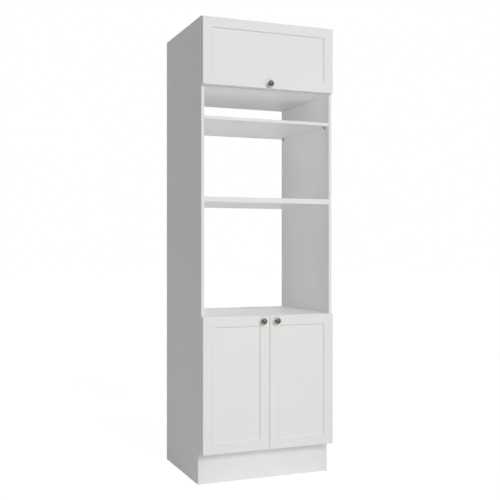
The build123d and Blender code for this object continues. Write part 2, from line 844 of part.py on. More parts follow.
# Gooseneck links: an eye on the cup's pin, a bent neck and an eye on the arm's pin
for door, planes in hinges.items():
    with BuildPart() as hinge_links:
        for hinge in planes:
            neck = [
                cup_pin,
                (cup_pin[0] + neck_near, cup_pin[1] - neck_drop),
                (cup_pin[0] + neck_far, cup_pin[1] - neck_drop),
                (arm_pin[0], arm_pin[1] - neck_rise),
                arm_pin,
            ]
            with BuildSketch(hinge.offset(-link_width / 2)):
                with BuildLine():
                    FilletPolyline(*neck, radius=link_bend_radius)
                trace(line_width=link_thickness)
                with Locations(cup_pin):
                    Circle(cup_eye_radius)
                with Locations(arm_pin):
                    Circle(arm_eye_radius)
                with Locations(cup_pin):
                    Circle(cup_pin_radius + pin_running_clearance, mode=Mode.SUBTRACT)
                with Locations(arm_pin):
                    Circle(arm_pin_radius + pin_running_clearance, mode=Mode.SUBTRACT)
            extrude(amount=link_width)
    hinge_links.part.label = f"{door}_hinge_links"
    export_step(hinge_links.part, f"parts/{door}_hinge_links.step")

# Hinge arms: two cheeks that hold the pin, and a web screwed down on the plate's rib
for door, planes in hinges.items():
    with BuildPart() as hinge_arms:
        for hinge in planes:
            for near in (cheek_inner, -cheek_outer):
                with BuildSketch(hinge.offset(near)):
                    with BuildLine():
                        Polyline(
                            (arm_underside, arm_back),
                            (arm_underside, plate_rib_front),
                            (arm_pin[0] - arm_nose_radius, arm_pin[1]),
                            (arm_pin[0] + arm_nose_radius, arm_pin[1]),
                            (arm_topside, arm_web_front),
                            (arm_topside, arm_back),
                            close=True,
                        )
                    make_face()
                    with Locations(arm_pin):
                        Circle(arm_nose_radius)
                        Circle(arm_pin_radius + pin_fit, mode=Mode.SUBTRACT)
                extrude(amount=arm_sheet)
            with BuildSketch(hinge.offset(-cheek_outer)):
                with Locations((arm_topside - arm_sheet / 2, (arm_web_front + arm_back) / 2)):
                    Rectangle(arm_sheet, arm_back - arm_web_front)
            extrude(amount=2 * cheek_outer)
            with BuildSketch(inwards(hinge, arm_topside, arm_screw_line, 0)):
                Circle(arm_screw_radius + hole_clearance)
            extrude(amount=-arm_sheet, mode=Mode.SUBTRACT)
    hinge_arms.part.label = f"{door}_hinge_arms"
    export_step(hinge_arms.part, f"parts/{door}_hinge_arms.step")

# Mounting plates: two screw wings on the board and a rib under the arm
with BuildPart() as hinge_plates:
    for door, planes in hinges.items():
        face = carrier_face[door]
        rib_top = arm_topside - arm_sheet
        rib_half = cheek_inner - plate_rib_clearance
        for hinge in planes:
            with BuildSketch(inwards(hinge, face, plate_screw_line, 0)):
                Rectangle(plate_wing_depth, plate_wing_length)
            extrude(amount=plate_wing_thickness)
            with BuildSketch(inwards(hinge, face, (plate_rib_front + plate_rib_back) / 2, 0)):
                Rectangle(plate_rib_back - plate_rib_front, 2 * rib_half)
            extrude(amount=rib_top - face)
            with BuildSketch(inwards(hinge, rib_top, arm_screw_line, 0)):
                Circle(arm_screw_radius + hole_clearance)
            extrude(amount=-(arm_screw_length + hole_end_gap), mode=Mode.SUBTRACT)
        for plane in plate_screw_planes(door):
            with BuildSketch(plane):
                Circle(plate_screw_radius + hole_clearance)
            extrude(amount=plate_wing_thickness, mode=Mode.SUBTRACT)
hinge_plates.part.label = "hinge_mounting_plates"
export_step(hinge_plates.part, "parts/hinge_mounting_plates.step")

# Arm pins, arm screws and plate screws of all the hinges
with BuildPart() as arm_pins:
    for planes in hinges.values():
        for hinge in planes:
            half_length = cheek_outer + pin_overhang
            with BuildSketch(hinge.offset(-half_length)):
                with Locations(arm_pin):
                    Circle(arm_pin_radius)
            extrude(amount=2 * half_length)
arm_pins.part.label = "hinge_arm_pins"
export_step(arm_pins.part, "parts/hinge_arm_pins.step")

with BuildPart() as arm_screws:
    for planes in hinges.values():
        for hinge in planes:
            seat = inwards(hinge, arm_topside, arm_screw_line, 0)
            with BuildSketch(seat):
                Circle(arm_screw_head_radius)
            extrude(amount=arm_screw_head_height)
            with BuildSketch(seat):
                Circle(arm_screw_radius)
            extrude(amount=-(arm_sheet + arm_screw_length))
arm_screws.part.label = "hinge_arm_screws"
export_step(arm_screws.part, "parts/hinge_arm_screws.step")

with BuildPart() as plate_screws:
    for door in hinges:
        for plane in plate_screw_planes(door):
            with BuildSketch(plane.offset(plate_wing_thickness)):
                Circle(plate_screw_head_radius)
            extrude(amount=plate_screw_head_height)
            with BuildSketch(plane.offset(plate_wing_thickness)):
                Circle(plate_screw_radius)
            extrude(amount=-(plate_wing_thickness + plate_screw_length))
plate_screws.part.label = "hinge_plate_screws"
export_step(plate_screws.part, "parts/hinge_plate_screws.step")


def strut_axis_plane(side, pin, towards):
    """Plane on a strut's eye, with local x along the strut and local z along the studs."""
    plane = struts[side]
    here = plane.from_local_coords((*pin, 0))
    there = plane.from_local_coords((*towards, 0))
    return Plane(here, x_dir=there - here, z_dir=plane.z_dir)


# Gas strut cylinders: an eye on the wall's stud, and a tube with a guided mouth
for side in (-1, 1):
    line = strut_axis_plane(side, strut_wall_pin, strut_flap_pin)
    with BuildPart() as cylinder:
        with BuildSketch(line):
            with BuildLine():
                Polyline(
                    (0, 0),
                    (0, strut_neck_radius),
                    (strut_tube_start, strut_neck_radius),
                    (strut_tube_start, strut_tube_radius),
                    (strut_tube_end, strut_tube_radius),
                    (strut_tube_end, strut_rod_radius + strut_rod_clearance),
                    (strut_tube_end - strut_cap, strut_rod_radius + strut_rod_clearance),
                    (strut_tube_end - strut_cap, strut_bore_radius),
                    (strut_tube_start + strut_plate, strut_bore_radius),
                    (strut_tube_start + strut_plate, 0),
                    close=True,
                )
            make_face()
        revolve(axis=Axis(line.origin, line.x_dir))
        with BuildSketch(line.offset(-strut_eye_width / 2)):
            Circle(strut_eye_radius)
        extrude(amount=strut_eye_width)
        with BuildSketch(line.offset(-strut_eye_width / 2)):
            Circle(strut_stud_radius + pin_running_clearance)
        extrude(amount=strut_eye_width, mode=Mode.SUBTRACT)
    cylinder.part.label = f"strut_cylinder_{side_names[side]}"
    export_step(cylinder.part, f"parts/strut_cylinder_{side_names[side]}.step")

# Gas strut rods: an eye on the flap's stud, the rod and its piston inside the tube
for side in (-1, 1):
    line = strut_axis_plane(side, strut_flap_pin, strut_wall_pin)
    with BuildPart() as rod:
        with BuildSketch(line):
            with BuildLine():
                Polyline(
                    (0, 0),
                    (0, strut_rod_radius),
                    (strut_rod_length - strut_piston_length, strut_rod_radius),
                    (strut_rod_length - strut_piston_length, strut_piston_radius),
                    (strut_rod_length, strut_piston_radius),
                    (strut_rod_length, 0),
                    close=True,
                )
            make_face()
        revolve(axis=Axis(line.origin, line.x_dir))
        with BuildSketch(line.offset(-strut_eye_width / 2)):
            Circle(strut_eye_radius)
        extrude(amount=strut_eye_width)
        with BuildSketch(line.offset(-strut_eye_width / 2)):
            Circle(strut_stud_radius + pin_running_clearance)
        extrude(amount=strut_eye_width, mode=Mode.SUBTRACT)
    rod.part.label = f"strut_rod_{side_names[side]}"
    export_step(rod.part, f"parts/strut_rod_{side_names[side]}.step")

# Wall brackets of the struts: a plate on each side panel and a headed stud
with BuildPart() as strut_wall_brackets:
    for side in (-1, 1):
        wall = Plane(
            struts[side].from_local_coords((*strut_wall_pin, side * strut_side_offset)),
            x_dir=(0, 1, 0),
            z_dir=(-side, 0, 0),
        )
        collar = strut_side_offset - strut_eye_width / 2 - strut_side_gap
        stud = strut_side_offset + strut_eye_width / 2 + strut_side_gap
        with BuildSketch(wall):
            Rectangle(strut_wall_plate_length, strut_plate_width)
        extrude(amount=strut_plate)
        with BuildSketch(wall):
            Circle(strut_collar_radius)
        extrude(amount=collar)
        with BuildSketch(wall):
            Circle(strut_stud_radius)
        extrude(amount=stud)
        with BuildSketch(wall.offset(stud)):
            Circle(strut_head_radius)
        extrude(amount=strut_head_height)
        for plane in strut_wall_screw_planes(side):
            with BuildSketch(plane):
                Circle(strut_screw_radius + hole_clearance)
            extrude(amount=strut_plate, mode=Mode.SUBTRACT)
strut_wall_brackets.part.label = "strut_wall_brackets"
export_step(strut_wall_brackets.part, "parts/strut_wall_brackets.step")

# Flap brackets of the struts: a foot on the flap's back, an upright and a headed stud
with BuildPart() as strut_flap_brackets:
    for side in (-1, 1):
        plane = struts[side]
        upright_near = strut_eye_width / 2 + strut_side_gap
        upright_far = upright_near + strut_upright
        foot_centre = -side * (upright_near + (strut_upright + strut_plate_width) / 2)
        foot_width = strut_upright + strut_plate_width
        with BuildSketch(backwards(plane, strut_flap_drop, -door_gap, foot_centre)):
            Rectangle(strut_flap_foot_length, foot_width)
        extrude(amount=strut_plate)
        with BuildSketch(plane.offset(-side * upright_near)):
            with BuildLine():
                Polyline(
                    (strut_flap_drop - strut_flap_foot_length / 2, -door_gap),
                    (strut_flap_drop + strut_flap_foot_length / 2, -door_gap),
                    (strut_flap_drop + strut_eye_radius, strut_flap_pin[1]),
                    (strut_flap_drop - strut_eye_radius, strut_flap_pin[1]),
                    close=True,
                )
            make_face()
            with Locations(strut_flap_pin):
                Circle(strut_eye_radius)
        extrude(amount=-side * strut_upright)
        stud_plane = Plane(
            plane.from_local_coords((*strut_flap_pin, -side * upright_far)),
            x_dir=(0, 1, 0),
            z_dir=(side, 0, 0),
        )
        stud = upright_far + upright_near
        with BuildSketch(stud_plane):
            Circle(strut_stud_radius)
        extrude(amount=stud)
        with BuildSketch(stud_plane.offset(stud)):
            Circle(strut_head_radius)
        extrude(amount=strut_head_height)
        for screw_plane in strut_flap_screw_planes(side):
            with BuildSketch(screw_plane):
                Circle(strut_screw_radius + hole_clearance)
            extrude(amount=strut_plate, mode=Mode.SUBTRACT)
strut_flap_brackets.part.label = "strut_flap_brackets"
export_step(strut_flap_brackets.part, "parts/strut_flap_brackets.step")

# Screws of the strut brackets, in the side panels and in the flap
strut_screw_groups = {
    "strut_wall_screws": strut_wall_screw_planes(-1) + strut_wall_screw_planes(1),
    "strut_flap_screws": strut_flap_screw_planes(-1) + strut_flap_screw_planes(1),
}
for name, planes in strut_screw_groups.items():
    with BuildPart() as strut_screws:
        for plane in planes:
            with BuildSketch(plane.offset(strut_plate)):
                Circle(strut_screw_head_radius)
            extrude(amount=strut_screw_head_height)
            with BuildSketch(plane.offset(strut_plate)):
                Circle(strut_screw_radius)
            extrude(amount=-(strut_plate + strut_screw_length))
    strut_screws.part.label = name
    export_step(strut_screws.part, f"parts/{name}.step")
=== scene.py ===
"""Tall oven cabinet in white board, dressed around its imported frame.

Boards, knobs, bumpers, hinges, struts, supports, screws and cam housings are worked up from the
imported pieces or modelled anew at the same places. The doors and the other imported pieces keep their
shapes and get their finishes. Metres, with X to the right, Y to the back and Z up from the floor.
"""

import json
import logging
import math
from collections.abc import Callable, Iterable, Sequence
from dataclasses import dataclass
from enum import Enum

import bpy
from mathutils import Matrix, Vector

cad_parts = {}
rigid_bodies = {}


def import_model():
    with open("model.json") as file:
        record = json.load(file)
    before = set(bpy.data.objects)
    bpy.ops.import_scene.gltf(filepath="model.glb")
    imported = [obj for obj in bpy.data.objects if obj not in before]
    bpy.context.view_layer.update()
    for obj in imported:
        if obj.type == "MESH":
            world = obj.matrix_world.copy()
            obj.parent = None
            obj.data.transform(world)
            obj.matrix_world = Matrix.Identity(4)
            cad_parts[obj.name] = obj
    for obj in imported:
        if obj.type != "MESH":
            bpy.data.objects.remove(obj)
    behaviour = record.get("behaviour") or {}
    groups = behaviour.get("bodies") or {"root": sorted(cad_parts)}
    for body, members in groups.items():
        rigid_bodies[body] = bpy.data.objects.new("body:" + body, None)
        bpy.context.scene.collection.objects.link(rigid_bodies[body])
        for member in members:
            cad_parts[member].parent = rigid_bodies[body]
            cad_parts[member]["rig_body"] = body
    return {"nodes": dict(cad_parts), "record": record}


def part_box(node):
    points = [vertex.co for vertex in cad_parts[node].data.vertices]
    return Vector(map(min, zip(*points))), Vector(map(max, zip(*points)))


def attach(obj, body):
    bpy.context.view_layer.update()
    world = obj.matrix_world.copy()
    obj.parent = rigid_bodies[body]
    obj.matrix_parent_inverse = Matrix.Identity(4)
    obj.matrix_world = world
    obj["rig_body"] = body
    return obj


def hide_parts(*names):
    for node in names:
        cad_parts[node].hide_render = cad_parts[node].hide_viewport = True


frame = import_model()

LOG = logging.getLogger("tall_oven_cabinet")
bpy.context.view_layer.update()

# Corners nearer to each other than this are one corner.
MERGE_DISTANCE = 0.000002
# Faces that meet at less than this many degrees are one flat face.
FLAT_DEGREES = 0.5
# Digits that a place is rounded to before it is compared.
CORNER_DIGITS = 6
LEVEL_DIGITS = 5
# Points this near to a fastener's end belong to the end's face.
END_DEPTH = 0.00001
# Faces whose normal has a Y below this look to the front, and those with such a Z look down.
FRONT_NORMAL_Y = -0.999
DOWN_NORMAL_Z = -0.9
# Degrees that each copy of a small part is turned further than the one before.
COPY_TWIST = 37.0
# Size of the plane that shrinks to the first point of a turned outline.
SEED_SIZE = 0.001

# Noise factors mostly lie between these two.
NOISE_LOW = 0.3
NOISE_HIGH = 0.7
# Sockets of a Mix node set to colours, whose names stand for other kinds too.
MIX_SHARE = 0
MIX_FIRST = 6
MIX_SECOND = 7
MIX_BLEND = 2
# The routed slopes of a door, which get painted shade: their normal's Y, how far it may be off,
# and the least Z of those that face up.
SLOPE_Y = -0.664
SLOPE_MARGIN = 0.06
SLOPE_UP_Z = 0.3

Colour = tuple[float, float, float]
Factors = tuple[float, float, float]
Point = tuple[float, float]


class Slot(Enum):
    """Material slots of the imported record."""

    CARCASS = "white_carcass"
    DOOR = "white_door"
    BACK = "white_back"
    BRASS = "antique_brass"
    BUMPER = "clear_bumper"
    BEECH = "beech"
    ZINC = "zinc"
    ENAMEL = "strut_grey"
    ROD = "polished_rod"
    STEEL = "plated_steel"


class Pick(Enum):
    """What edit mode selects: corners, edges or faces."""

    CORNERS = (True, False, False)
    EDGES = (False, True, False)
    FACES = (False, False, True)


class FinishTree:
    """Node tree of one finish, with patterns laid on the piece's Object coordinates."""

    def __init__(self, name: str) -> None:
        """Starts the material with a Principled shader.

        Args:
            name: the material's name.
        """
        self.material = bpy.data.materials.new(name)
        self.material.use_nodes = True
        self.nodes = self.material.node_tree.nodes
        self.links = self.material.node_tree.links
        self.shader = self.nodes["Principled BSDF"]
        coordinates = self.nodes.new("ShaderNodeTexCoord")
        self.place = coordinates.outputs["Object"]
        self.facing = coordinates.outputs["Normal"]

    def set(self, **values: float) -> None:
        """Sets uniform values on the shader's own sockets.

        Args:
            values: socket names, with underscores for spaces, and their values.
        """
        for key, value in values.items():
            self.shader.inputs[key.replace("_", " ")].default_value = value

    def noise(
        self, scale: float, detail: float = 2.0, stretch: Factors = (1.0, 1.0, 1.0)
    ) -> bpy.types.NodeSocket:
        """Soft noise.

        Args:
            scale: cells to a metre.
            detail: octaves.
            stretch: factor for each axis.

        Returns:
            The noise factor.
        """
        mapping = self.nodes.new("ShaderNodeMapping")
        mapping.inputs["Scale"].default_value = stretch
        self.links.new(self.place, mapping.inputs["Vector"])
        texture = self.nodes.new("ShaderNodeTexNoise")
        texture.inputs["Scale"].default_value = scale
        texture.inputs["Detail"].default_value = detail
        self.links.new(mapping.outputs["Vector"], texture.inputs["Vector"])
        return texture.outputs["Fac"]

    def spread(
        self, factor: bpy.types.NodeSocket, low: float = 0.0, high: float = 1.0
    ) -> bpy.types.NodeSocket:
        """A noise factor spread over a range of values.

        Args:
            factor: what is spread.
            low: value where the noise is low.
            high: value where the noise is high.

        Returns:
            The spread value.
        """
        node = self.nodes.new("ShaderNodeMapRange")
        node.inputs["From Min"].default_value = NOISE_LOW
        node.inputs["From Max"].default_value = NOISE_HIGH
        node.inputs["To Min"].default_value = low
        node.inputs["To Max"].default_value = high
        self.links.new(factor, node.inputs["Value"])
        return node.outputs["Result"]

    def blend(
        self, factor: bpy.types.NodeSocket, first: Colour | bpy.types.NodeSocket, second: Colour
    ) -> bpy.types.NodeSocket:
        """A blend of two colours.

        Args:
            factor: share of the second colour.
            first: colour at 0, or the pattern that gives it.
            second: colour at 1.

        Returns:
            The blended colour.
        """
        node = self.nodes.new("ShaderNodeMix")
        node.data_type = "RGBA"
        self.links.new(factor, node.inputs[MIX_SHARE])
        if isinstance(first, tuple):
            node.inputs[MIX_FIRST].default_value = (*first, 1.0)
        else:
            self.links.new(first, node.inputs[MIX_FIRST])
        node.inputs[MIX_SECOND].default_value = (*second, 1.0)
        return node.outputs[MIX_BLEND]

    def maths(
        self, operation: str, socket: bpy.types.NodeSocket, *others: float | bpy.types.NodeSocket
    ) -> bpy.types.NodeSocket:
        """One step of arithmetic.

        Args:
            operation: the Math node's operation.
            socket: its first operand.
            others: its other operands.

        Returns:
            The result.
        """
        node = self.nodes.new("ShaderNodeMath")
        node.operation = operation
        self.links.new(socket, node.inputs[0])
        for index, other in enumerate(others, start=1):
            if isinstance(other, float):
                node.inputs[index].default_value = other
            else:
                self.links.new(other, node.inputs[index])
        return node.outputs["Value"]

    def slopes(self) -> bpy.types.NodeSocket:
        """Finds the routed slopes of a door that face down or sideways, where painted shade goes.

        Returns:
            1 on those slopes and 0 elsewhere.
        """
        split = self.nodes.new("ShaderNodeSeparateXYZ")
        self.links.new(self.facing, split.inputs["Vector"])
        slanted = self.maths("COMPARE", split.outputs["Y"], SLOPE_Y, SLOPE_MARGIN)
        not_up = self.maths("LESS_THAN", split.outputs["Z"], SLOPE_UP_Z)
        return self.maths("MULTIPLY", slanted, not_up)

    def colour(self, socket: bpy.types.NodeSocket) -> None:
        """Takes the base colour from a pattern."""
        self.links.new(socket, self.shader.inputs["Base Color"])

    def roughness(self, socket: bpy.types.NodeSocket) -> None:
        """Takes the roughness from a pattern."""
        self.links.new(socket, self.shader.inputs["Roughness"])

    def relief(self, height: bpy.types.NodeSocket, depth: float) -> None:
        """Takes the surface relief from a pattern.

        Args:
            height: the pattern.
            depth: its depth in metres.
        """
        bump = self.nodes.new("ShaderNodeBump")
        bump.inputs["Distance"].default_value = depth
        self.links.new(height, bump.inputs["Height"])
        self.links.new(bump.outputs["Normal"], self.shader.inputs["Normal"])


@dataclass(frozen=True)
class WhiteFinish:
    """White melamine, foil or lacquer: an even tone over a fine pressed grain.

    The door foil gets painted shade: it is a touch darker on the routed slopes, except on those
    that face up, and this stands in for the shade that falls in the recess.
    """

    name: str
    tone: Colour
    drift: float
    grain: float
    grain_depth: float
    satin: tuple[float, float]
    specular: float = 0.3
    # Share by which the routed slopes are painted darker, as painted shade; 0 leaves them as they are.
    painted_slope_shade: float = 0.0
    drift_scale: float = 5.0
    detail: float = 3.0
    grains_to_a_patch: float = 12.0

    def darker(self, share: float) -> Colour:
        """The tone, darker by a share."""
        return tuple(value * (1.0 - share) for value in self.tone)

    def material(self) -> bpy.types.Material:
        """Builds the finish.

        Returns:
            Its material.
        """
        tree = FinishTree(self.name)
        tree.set(Specular_IOR_Level=self.specular)
        drifting = tree.spread(tree.noise(self.drift_scale, self.detail))
        tone = tree.blend(drifting, self.tone, self.darker(self.drift))
        # Painted shade: the door foil is darkened on its routed slopes that face down or sideways.
        if self.painted_slope_shade:
            tone = tree.blend(tree.slopes(), tone, self.darker(self.painted_slope_shade))
        tree.colour(tone)
        tree.roughness(tree.spread(tree.noise(self.grain / self.grains_to_a_patch), *self.satin))
        tree.relief(tree.noise(self.grain, self.detail), self.grain_depth)
        return tree.material


@dataclass(frozen=True)
class MetalFinish:
    """Plated, cast, ground or turned metal, with its brushing and its dull patches."""

    name: str
    bright: Colour
    dull: Colour
    patch: float
    roughness: tuple[float, float]
    grain: float
    grain_depth: float
    metallic: float = 1.0
    patch_detail: float = 4.0
    grain_detail: float = 3.0
    grains_to_a_brushing: float = 3.0

    def material(self) -> bpy.types.Material:
        """Builds the finish.

        Returns:
            Its material.
        """
        tree = FinishTree(self.name)
        tree.set(Metallic=self.metallic)
        dulled = tree.spread(tree.noise(self.patch, self.patch_detail))
        tree.colour(tree.blend(dulled, self.bright, self.dull))
        brushed = tree.noise(self.grain / self.grains_to_a_brushing, self.grain_detail)
        tree.roughness(tree.spread(brushed, *self.roughness))
        tree.relief(tree.noise(self.grain, self.grain_detail), self.grain_depth)
        return tree.material


@dataclass(frozen=True)
class ClearFinish:
    """Clear soft plastic, a little clouded."""

    name: str
    clear: Colour
    clouded: Colour
    cloud: float
    transmission: float
    refraction: float
    smear: float
    roughness: tuple[float, float]
    grain: float
    grain_depth: float

    def material(self) -> bpy.types.Material:
        """Builds the finish.

        Returns:
            Its material.
        """
        tree = FinishTree(self.name)
        tree.set(Transmission_Weight=self.transmission, IOR=self.refraction)
        tree.colour(tree.blend(tree.noise(self.cloud), self.clear, self.clouded))
        tree.roughness(tree.spread(tree.noise(self.smear), *self.roughness))
        tree.relief(tree.noise(self.grain), self.grain_depth)
        return tree.material


@dataclass(frozen=True)
class WoodFinish:
    """Bare wood with its fibres along X."""

    name: str
    pale: Colour
    dark: Colour
    fibres: float
    detail: float
    stretch: Factors
    roughness: tuple[float, float]
    fibre_depth: float

    def material(self) -> bpy.types.Material:
        """Builds the finish.

        Returns:
            Its material.
        """
        tree = FinishTree(self.name)
        fibres = tree.noise(self.fibres, self.detail, self.stretch)
        tree.colour(tree.blend(tree.spread(fibres), self.pale, self.dark))
        tree.roughness(tree.spread(fibres, *self.roughness))
        tree.relief(fibres, self.fibre_depth)
        return tree.material


Finish = WhiteFinish | MetalFinish | ClearFinish | WoodFinish

FINISHES: dict[Slot, Finish] = {
    Slot.CARCASS: WhiteFinish(
        "white_melamine",
        tone=(0.90, 0.90, 0.897),
        drift=0.012,
        grain=900.0,
        grain_depth=0.00002,
        satin=(0.46, 0.56),
    ),
    Slot.DOOR: WhiteFinish(
        "white_door_foil",
        tone=(0.90, 0.90, 0.893),
        drift=0.008,
        grain=420.0,
        grain_depth=0.00003,
        satin=(0.42, 0.5),
        # Painted shade on the door's routed slopes, 13 % darker.
        painted_slope_shade=0.13,
    ),
    Slot.BACK: WhiteFinish(
        "white_lacquer",
        tone=(0.89, 0.89, 0.886),
        drift=0.02,
        grain=650.0,
        grain_depth=0.00004,
        satin=(0.4, 0.5),
    ),
    Slot.BRASS: MetalFinish(
        "antique_brass",
        bright=(0.118, 0.122, 0.07),
        dull=(0.055, 0.06, 0.04),
        patch=260.0,
        roughness=(0.15, 0.24),
        grain=1500.0,
        grain_depth=0.00001,
    ),
    Slot.BUMPER: ClearFinish(
        "clear_bumper",
        clear=(0.9, 0.9, 0.88),
        clouded=(0.8, 0.8, 0.78),
        cloud=400.0,
        transmission=0.85,
        refraction=1.49,
        smear=900.0,
        roughness=(0.12, 0.22),
        grain=1500.0,
        grain_depth=0.00001,
    ),
    Slot.BEECH: WoodFinish(
        "beech",
        pale=(0.62, 0.42, 0.24),
        dark=(0.44, 0.27, 0.14),
        fibres=900.0,
        detail=4.0,
        stretch=(0.06, 1.0, 1.0),
        roughness=(0.5, 0.7),
        fibre_depth=0.00005,
    ),
    Slot.ZINC: MetalFinish(
        "cast_zinc",
        bright=(0.32, 0.33, 0.34),
        dull=(0.25, 0.26, 0.27),
        patch=300.0,
        roughness=(0.42, 0.56),
        grain=1800.0,
        grain_depth=0.00003,
    ),
    Slot.ENAMEL: MetalFinish(
        "grey_enamel",
        bright=(0.10, 0.105, 0.11),
        dull=(0.085, 0.09, 0.095),
        patch=60.0,
        roughness=(0.28, 0.36),
        grain=1200.0,
        grain_depth=0.00001,
        metallic=0.0,
    ),
    Slot.ROD: MetalFinish(
        "ground_rod",
        bright=(0.75, 0.76, 0.77),
        dull=(0.7, 0.7, 0.71),
        patch=90.0,
        roughness=(0.08, 0.14),
        grain=4000.0,
        grain_depth=0.000002,
    ),
    Slot.STEEL: MetalFinish(
        "nickel_plated_steel",
        bright=(0.66, 0.65, 0.62),
        dull=(0.55, 0.54, 0.52),
        patch=120.0,
        roughness=(0.25, 0.38),
        grain=2200.0,
        grain_depth=0.00001,
    ),
}


class CabinetFinishes:
    """Every finish of the cabinet, built once."""

    def __init__(self) -> None:
        """Builds the finishes, each for its material slot."""
        self.by_slot = {slot: finish.material() for slot, finish in FINISHES.items()}

    def dress(self, node: str, slot: Slot) -> bpy.types.Object:
        """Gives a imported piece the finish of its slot.

        Args:
            node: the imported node.
            slot: its material slot.

        Returns:
            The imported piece.
        """
        piece = frame["nodes"][node]
        if not piece.material_slots:
            piece.data.materials.append(self.by_slot[slot])
        for holder in piece.material_slots:
            holder.material = self.by_slot[slot]
        return piece

    def adopt(self, piece: bpy.types.Object, slot: Slot, node: str) -> bpy.types.Object:
        """Gives a new piece its finish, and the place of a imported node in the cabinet.

        Args:
            piece: the new piece.
            slot: the slot that its finish comes from.
            node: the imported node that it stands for.

        Returns:
            The new piece.
        """
        piece.data.materials.clear()
        piece.data.materials.append(self.by_slot[slot])
        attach(piece, frame["nodes"][node]["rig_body"])
        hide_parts(node)
        return piece


def deselect_all() -> None:
    """Leaves nothing selected."""
    if bpy.context.object is not None and bpy.context.object.mode != "OBJECT":
        bpy.ops.object.mode_set(mode="OBJECT")
    bpy.ops.object.select_all(action="DESELECT")


def only(piece: bpy.types.Object) -> None:
    """Makes a piece the only selected and active one.

    Args:
        piece: that piece.
    """
    deselect_all()
    piece.select_set(True)
    bpy.context.view_layer.objects.active = piece


def enter_edit(piece: bpy.types.Object, pick: Pick) -> None:
    """Goes to edit mode with all of a piece selected.

    Args:
        piece: the piece to edit.
        pick: what edit mode selects.
    """
    only(piece)
    bpy.context.tool_settings.mesh_select_mode = pick.value
    bpy.ops.object.mode_set(mode="EDIT")
    bpy.ops.mesh.select_all(action="SELECT")


def leave_edit() -> None:
    """Goes back to object mode."""
    bpy.ops.object.mode_set(mode="OBJECT")


def unpicked_mesh(piece: bpy.types.Object, pick: Pick) -> bpy.types.Mesh:
    """Makes a piece the active one, with nothing of its mesh selected.

    Args:
        piece: the piece to edit.
        pick: what edit mode selects.

    Returns:
        The piece's mesh.
    """
    only(piece)
    bpy.context.tool_settings.mesh_select_mode = pick.value
    for items in (piece.data.vertices, piece.data.edges, piece.data.polygons):
        items.foreach_set("select", [False] * len(items))
    return piece.data


def edit_edges(piece: bpy.types.Object, test: Callable[[Vector, Vector], bool]) -> bool:
    """Goes to edit mode with the edges selected that pass a test.

    Args:
        piece: the piece to edit.
        test: takes an edge's two ends.

    Returns:
        Whether any edge is selected.
    """
    mesh = unpicked_mesh(piece, Pick.EDGES)
    for edge in mesh.edges:
        edge.select = test(*(mesh.vertices[index].co for index in edge.vertices))
    found = any(edge.select for edge in mesh.edges)
    bpy.ops.object.mode_set(mode="EDIT")
    return found


def edit_faces(piece: bpy.types.Object, test: Callable[[Vector], bool]) -> None:
    """Goes to edit mode with the faces selected that pass a test.

    Args:
        piece: the piece to edit.
        test: takes a face's normal.
    """
    for face in unpicked_mesh(piece, Pick.FACES).polygons:
        face.select = test(face.normal)
    bpy.ops.object.mode_set(mode="EDIT")


def finish_with(piece: bpy.types.Object, kind: str, **settings: object) -> None:
    """Adds a modifier, sets it and applies it.

    Args:
        piece: the piece that gets it.
        kind: the modifier's type.
        settings: its properties.
    """
    only(piece)
    modifier = piece.modifiers.new(kind.lower(), kind)
    for key, value in settings.items():
        setattr(modifier, key, value)
    bpy.ops.object.modifier_apply(modifier=modifier.name)


def shade(piece: bpy.types.Object, degrees: float) -> None:
    """Shades a piece smooth, but for edges sharper than an angle."""
    only(piece)
    bpy.ops.object.shade_smooth_by_angle(angle=math.radians(degrees))


def reworked(node: str, name: str) -> bpy.types.Object:
    """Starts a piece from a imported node's mesh, merged and with its flat faces whole.

    Args:
        node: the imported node.
        name: the new piece's name.

    Returns:
        The new piece.
    """
    piece = bpy.data.objects.new(name, frame["nodes"][node].data.copy())
    bpy.context.scene.collection.objects.link(piece)
    enter_edit(piece, Pick.CORNERS)
    bpy.ops.mesh.customdata_custom_splitnormals_clear()
    bpy.ops.mesh.remove_doubles(threshold=MERGE_DISTANCE)
    bpy.ops.mesh.dissolve_limited(angle_limit=math.radians(FLAT_DEGREES))
    leave_edit()
    return piece


def turned(name: str, profile: Sequence[Point], steps: int) -> bpy.types.Object:
    """Turns a profile about the Z axis into a closed solid.

    Args:
        name: the piece's name.
        profile: radius and height from one pole to the other.
        steps: facets round the axis.

    Returns:
        The turned piece.
    """
    deselect_all()
    bpy.ops.mesh.primitive_plane_add(size=SEED_SIZE)
    piece = bpy.context.active_object
    piece.name = name
    enter_edit(piece, Pick.CORNERS)
    bpy.ops.mesh.merge(type="CENTER")
    bpy.ops.transform.translate(value=(profile[0][0], 0.0, profile[0][1]))
    for start, end in zip(profile, profile[1:]):
        step = (end[0] - start[0], 0.0, end[1] - start[1])
        bpy.ops.mesh.extrude_vertices_move(TRANSFORM_OT_translate={"value": step})
    bpy.ops.mesh.select_all(action="SELECT")
    bpy.ops.mesh.spin(
        steps=steps, angle=2.0 * math.pi, center=(0.0, 0.0, 0.0), axis=(0.0, 0.0, 1.0)
    )
    bpy.ops.mesh.select_all(action="SELECT")
    bpy.ops.mesh.remove_doubles(threshold=MERGE_DISTANCE)
    bpy.ops.mesh.normals_make_consistent(inside=False)
    leave_edit()
    return piece


